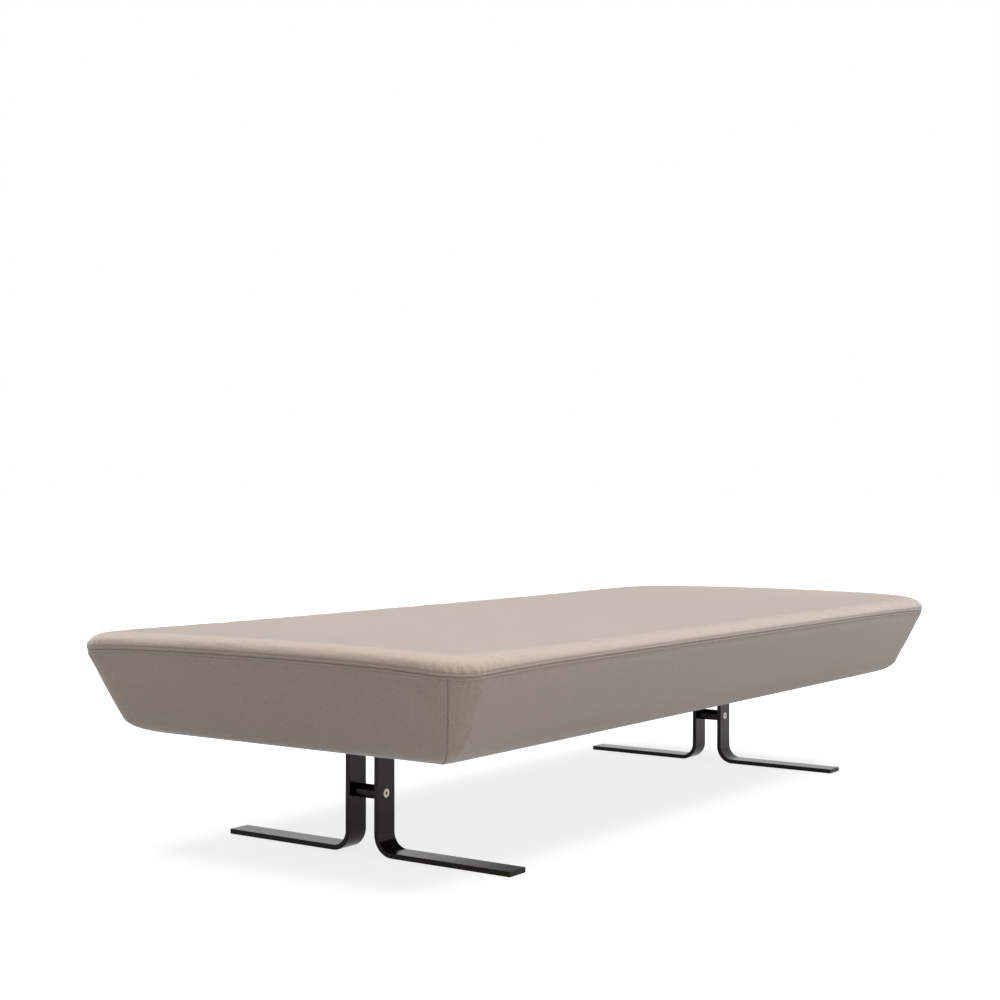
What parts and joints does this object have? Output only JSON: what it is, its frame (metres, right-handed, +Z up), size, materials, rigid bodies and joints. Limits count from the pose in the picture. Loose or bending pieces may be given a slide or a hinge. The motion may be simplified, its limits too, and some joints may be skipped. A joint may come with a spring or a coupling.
{
  "type": "backless divan",
  "caption": "Long low backless divan: a crowned upholstered slab with drawn-in sides and a stitched top seam, on paired bent flat steel bar legs.",
  "frame": {"origin": "on the floor, under the middle of the divan", "axes": "+X along the long side, +Y across the divan, +Z up"},
  "size_m": [2.0512, 0.9164, 0.415],
  "materials": {
    "cover_cloth": "milled taupe wool cloth",
    "leg_paint": "satin black-brown powder coat on steel",
    "screw_steel": "satin nickel plate",
    "zinc_steel": "zinc plate",
    "frame_wood": "planed beech",
    "webbing": "woven elastic webbing",
    "foam": "cut polyurethane foam",
    "padding": "soft foam with fibre wadding",
    "lining_cloth": "black non-woven lining"
  },
  "bodies": {
    "root": {"leg_bar_left_front": "leg_paint", "leg_bar_left_rear": "leg_paint", "leg_bar_right_front": "leg_paint", "leg_bar_right_rear": "leg_paint", "spacer_rod_left": "leg_paint", "spacer_rod_right": "leg_paint", "spacer_screws": "screw_steel", "leg_plate_left": "leg_paint", "leg_plate_right": "leg_paint", "plate_bolts": "screw_steel", "plate_nuts": "zinc_steel", "long_rail_front": "frame_wood", "long_rail_rear": "frame_wood", "end_rail_left": "frame_wood", "end_rail_right": "frame_wood", "leg_bearer_left": "frame_wood", "centre_bearer": "frame_wood", "leg_bearer_right": "frame_wood", "frame_screws": "zinc_steel", "corner_blocks": "frame_wood", "cross_webbing": "webbing", "long_webbing": "webbing", "foam_core": "foam", "edge_foam_front": "foam", "edge_foam_rear": "foam", "edge_foam_left": "foam", "edge_foam_right": "foam", "top_padding": "padding", "cover_top": "cover_cloth", "cover_front": "cover_cloth", "cover_rear": "cover_cloth", "cover_left": "cover_cloth", "cover_right": "cover_cloth", "underside_lining": "lining_cloth", "lining_staples": "zinc_steel"}
  },
  "joints": []
}
